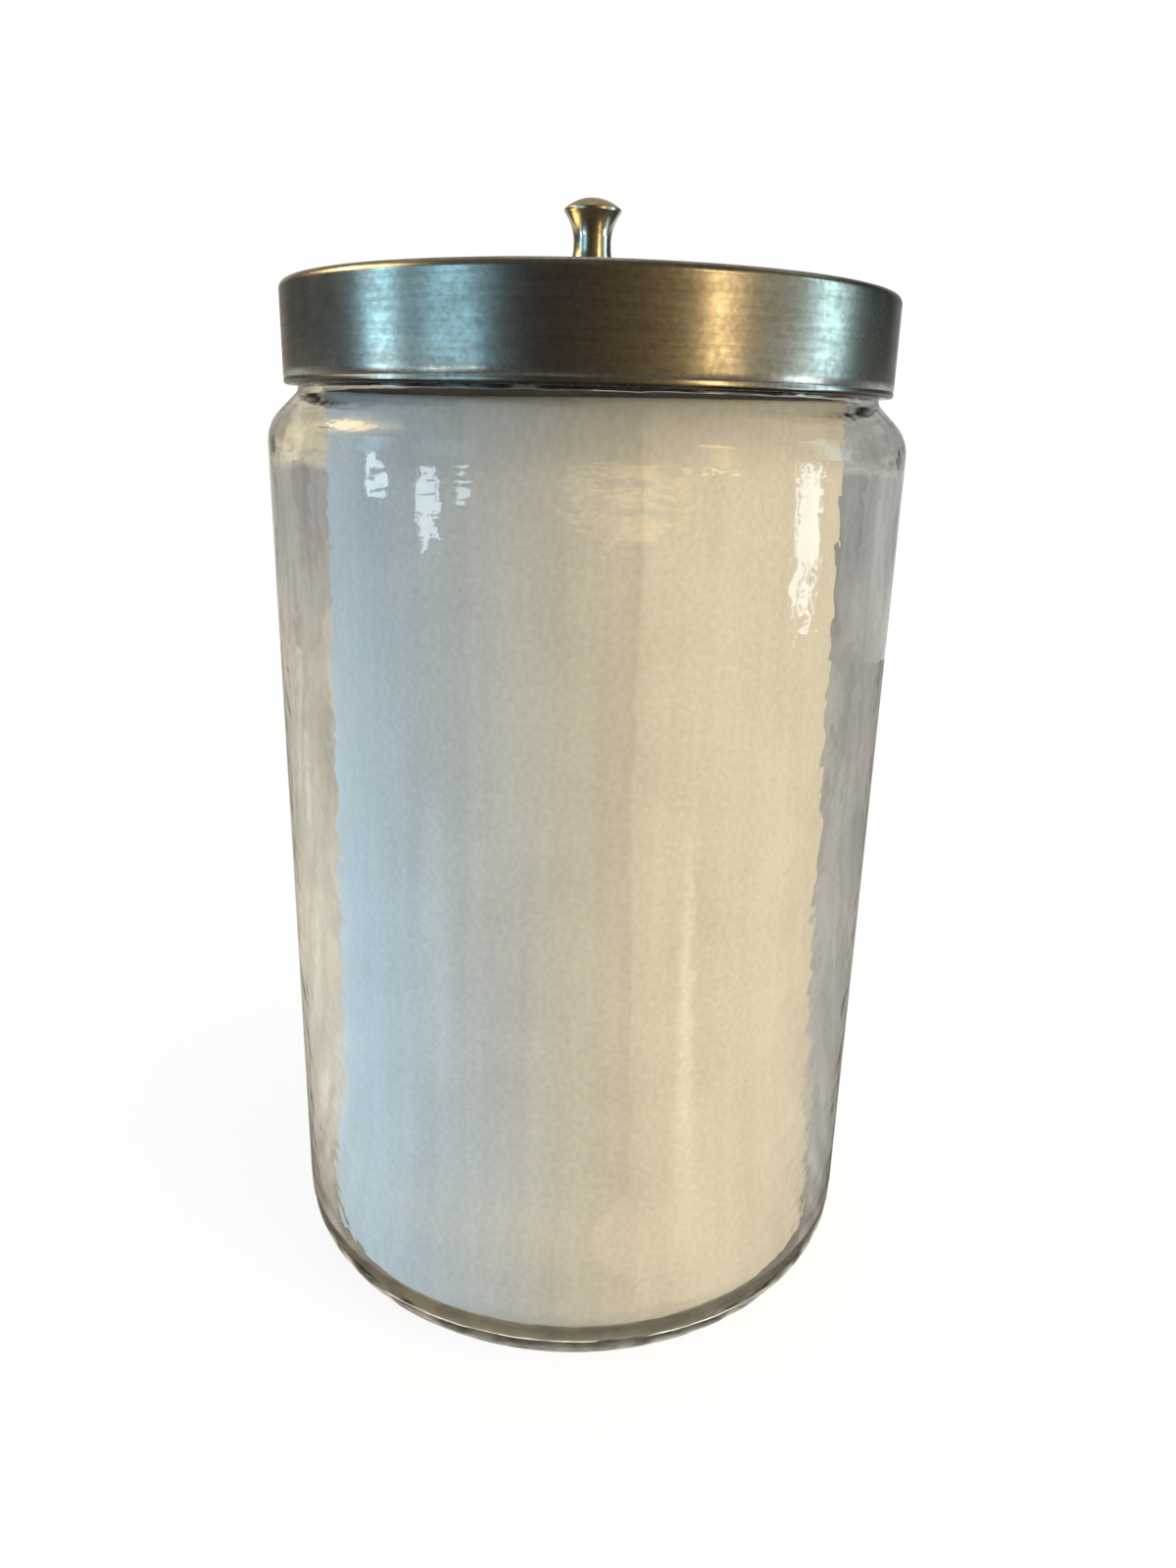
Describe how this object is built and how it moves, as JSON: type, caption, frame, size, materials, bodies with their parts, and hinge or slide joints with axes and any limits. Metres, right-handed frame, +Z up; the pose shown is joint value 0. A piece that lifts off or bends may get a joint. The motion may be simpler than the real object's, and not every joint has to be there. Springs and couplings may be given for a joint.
{
  "type": "lidded glass jar",
  "caption": "Straight-walled clear glass storage jar with a sloped shoulder, a slip-on brushed metal lid lifted by a turned knob, and a rolled white paper liner inside.",
  "frame": {"origin": "middle of the base, on the surface that the jar stands on", "axes": "+Z up along the jar's axis, -Y the side that the picture shows"},
  "size_m": [0.108, 0.108, 0.1914],
  "materials": {
    "glass": "clear, slightly rippled",
    "paper": "matt white",
    "lid_metal": "worn, brushed round the lid",
    "knob_metal": "polished, tarnished on the crown",
    "fixing_metal": "plain zinc grey"
  },
  "bodies": {
    "jar": {"glass_jar": "glass", "paper_liner": "paper"},
    "lid": {"lid_shell": "lid_metal", "lid_knob": "knob_metal", "knob_washer": "fixing_metal", "knob_screw": "fixing_metal"}
  },
  "joints": [
    {"name": "lid_lift", "type": "slide", "parent": "jar", "child": "lid", "axis": [0, 0, 1], "range_m": [0, 0.12]}
  ]
}
